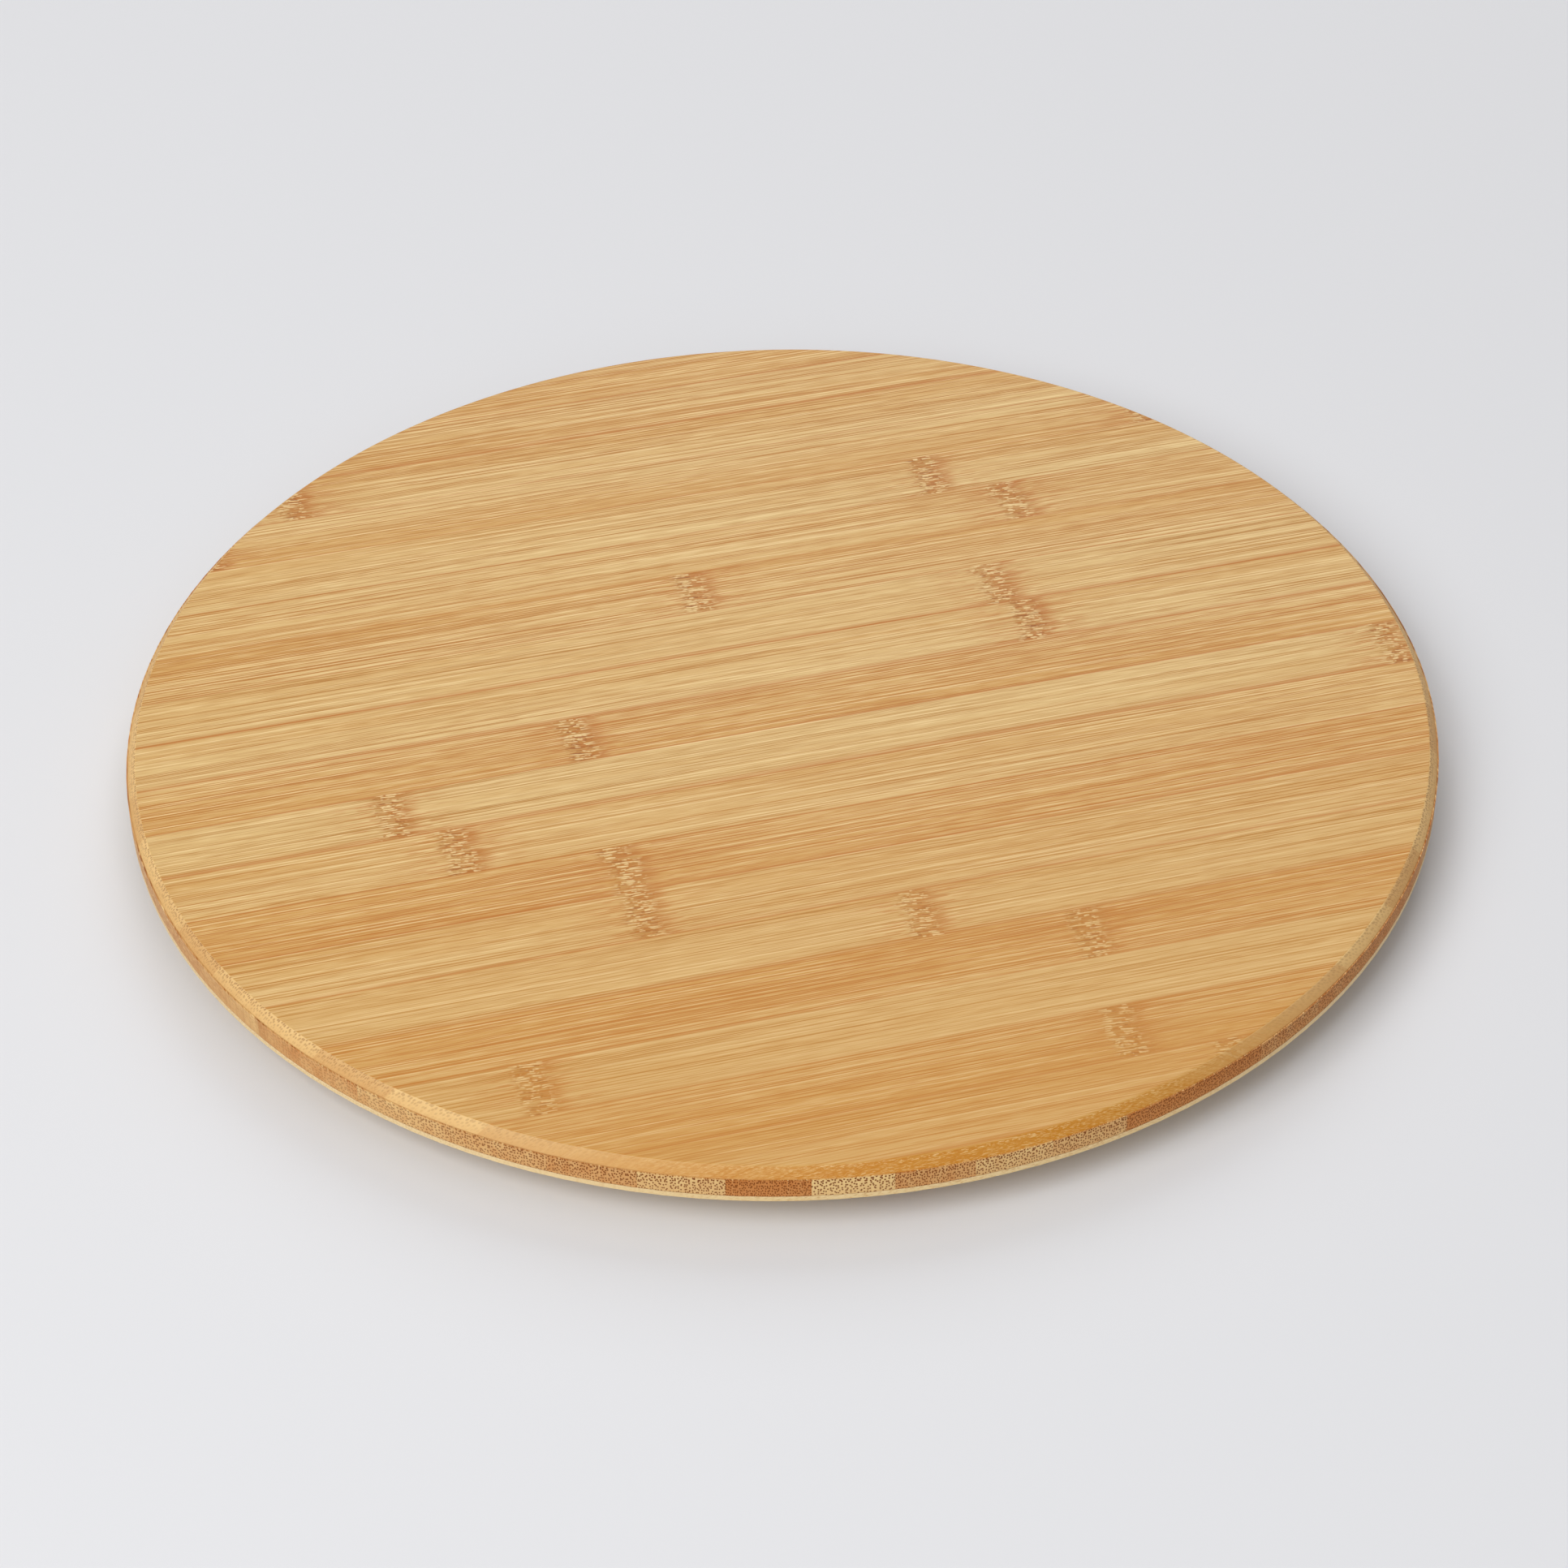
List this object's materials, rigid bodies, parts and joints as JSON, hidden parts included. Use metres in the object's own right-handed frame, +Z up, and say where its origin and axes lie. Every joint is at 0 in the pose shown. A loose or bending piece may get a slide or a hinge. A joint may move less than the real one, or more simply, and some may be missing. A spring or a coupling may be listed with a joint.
{
  "type": "lazy susan turntable",
  "caption": "Low round three-ply bamboo turntable with a bevelled rim, turning on a wide, flat aluminium ball bearing that stands on rubber pads.",
  "frame": {"origin": "on the table surface under the middle of the board, which is also the axis that the board turns on", "axes": "+Z up along the turning axis; +X along the fibres of the board's face plies; +Y across them, away from the front"},
  "size_m": [0.3999, 0.4, 0.022],
  "materials": {
    "face_bamboo": "satin",
    "core_bamboo": "satin",
    "ring_aluminium": "satin",
    "zinc_steel": "satin",
    "cage_nylon": "matte",
    "ball_steel": "polished",
    "pad_rubber": "matte"
  },
  "bodies": {
    "base": {"outer_ring": "ring_aluminium", "rubber_pad_01": "pad_rubber", "rubber_pad_02": "pad_rubber", "rubber_pad_03": "pad_rubber", "rubber_pad_04": "pad_rubber", "rubber_pad_05": "pad_rubber", "rubber_pad_06": "pad_rubber"},
    "turntable": {"top_ply": "face_bamboo", "core_ply": "core_bamboo", "bottom_ply": "face_bamboo", "inner_ring": "ring_aluminium", "board_screws": "zinc_steel"},
    "cage": {"ball_cage": "cage_nylon", "ball_01": "ball_steel", "ball_02": "ball_steel", "ball_03": "ball_steel", "ball_04": "ball_steel", "ball_05": "ball_steel", "ball_06": "ball_steel", "ball_07": "ball_steel", "ball_08": "ball_steel", "ball_09": "ball_steel", "ball_10": "ball_steel", "ball_11": "ball_steel", "ball_12": "ball_steel", "ball_13": "ball_steel", "ball_14": "ball_steel", "ball_15": "ball_steel", "ball_16": "ball_steel", "ball_17": "ball_steel", "ball_18": "ball_steel", "ball_19": "ball_steel", "ball_20": "ball_steel", "ball_21": "ball_steel", "ball_22": "ball_steel", "ball_23": "ball_steel", "ball_24": "ball_steel"}
  },
  "joints": [
    {"name": "board_spin", "type": "hinge", "parent": "base", "child": "turntable", "pos_m": [0, 0, 0.00575], "axis": [0, 0, 1], "continuous": true},
    {"name": "cage_spin", "type": "hinge", "parent": "base", "child": "cage", "pos_m": [0, 0, 0.00575], "axis": [0, 0, 1], "continuous": true}
  ],
  "couplings": [
    {"joint": "cage_spin", "follows": "board_spin", "ratio": 0.49074}
  ]
}
